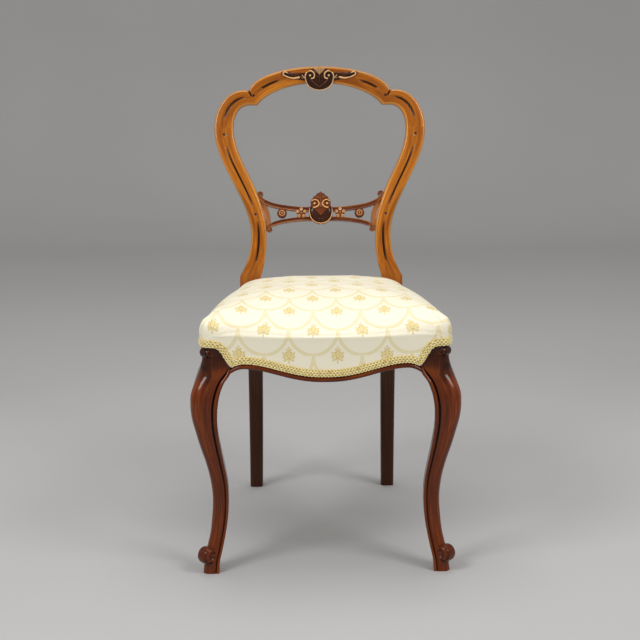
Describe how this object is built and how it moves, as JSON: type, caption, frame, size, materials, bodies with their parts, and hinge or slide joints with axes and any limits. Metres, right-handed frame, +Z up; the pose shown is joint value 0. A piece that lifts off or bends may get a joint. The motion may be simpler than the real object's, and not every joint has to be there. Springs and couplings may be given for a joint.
{
  "type": "dining chair",
  "caption": "Balloon back dining chair with a carved crest, pierced mid rail, cabriole front legs and a stuffed-over patterned seat.",
  "frame": {"origin": "on the floor under the middle of the chair's bounding box", "axes": "+Z up, +X to the right as seen from the front, the sitter faces -Y"},
  "size_m": [0.48, 0.5686, 0.896],
  "materials": {
    "polished_walnut": "french polished walnut, warm red brown",
    "frame_beech": "plain beech, waxed",
    "beech_dowel": "bare turned beech",
    "screw_steel": "dull steel",
    "jute_web": "woven jute web",
    "hessian": "open jute hessian",
    "fibre_stuffing": "tied coir fibre",
    "hair_stuffing": "hair under wadding",
    "damask": "ivory damask with a pale gold scale and sprig pattern",
    "gold_braid": "matt old gold scroll gimp"
  },
  "bodies": {
    "root": {"stile_leg_left": "polished_walnut", "stile_leg_right": "polished_walnut", "crest_rail": "polished_walnut", "crest_carving": "polished_walnut", "crest_dowels": "beech_dowel", "mid_rail": "polished_walnut", "mid_rail_cartouche": "polished_walnut", "front_leg_left": "polished_walnut", "front_leg_right": "polished_walnut", "front_rail": "polished_walnut", "side_rail_left": "polished_walnut", "side_rail_right": "polished_walnut", "back_rail": "frame_beech", "front_rail_dowels": "beech_dowel", "side_rail_dowels": "beech_dowel", "back_rail_dowels": "beech_dowel", "corner_brace_front_left": "frame_beech", "corner_brace_front_right": "frame_beech", "corner_brace_rear_left": "frame_beech", "corner_brace_rear_right": "frame_beech", "brace_screws": "screw_steel", "webbing_front_to_back": "jute_web", "webbing_side_to_side": "jute_web", "hessian_base": "hessian", "first_stuffing": "fibre_stuffing", "top_stuffing": "hair_stuffing", "seat_cover": "damask", "braid_trim": "gold_braid"}
  },
  "joints": []
}
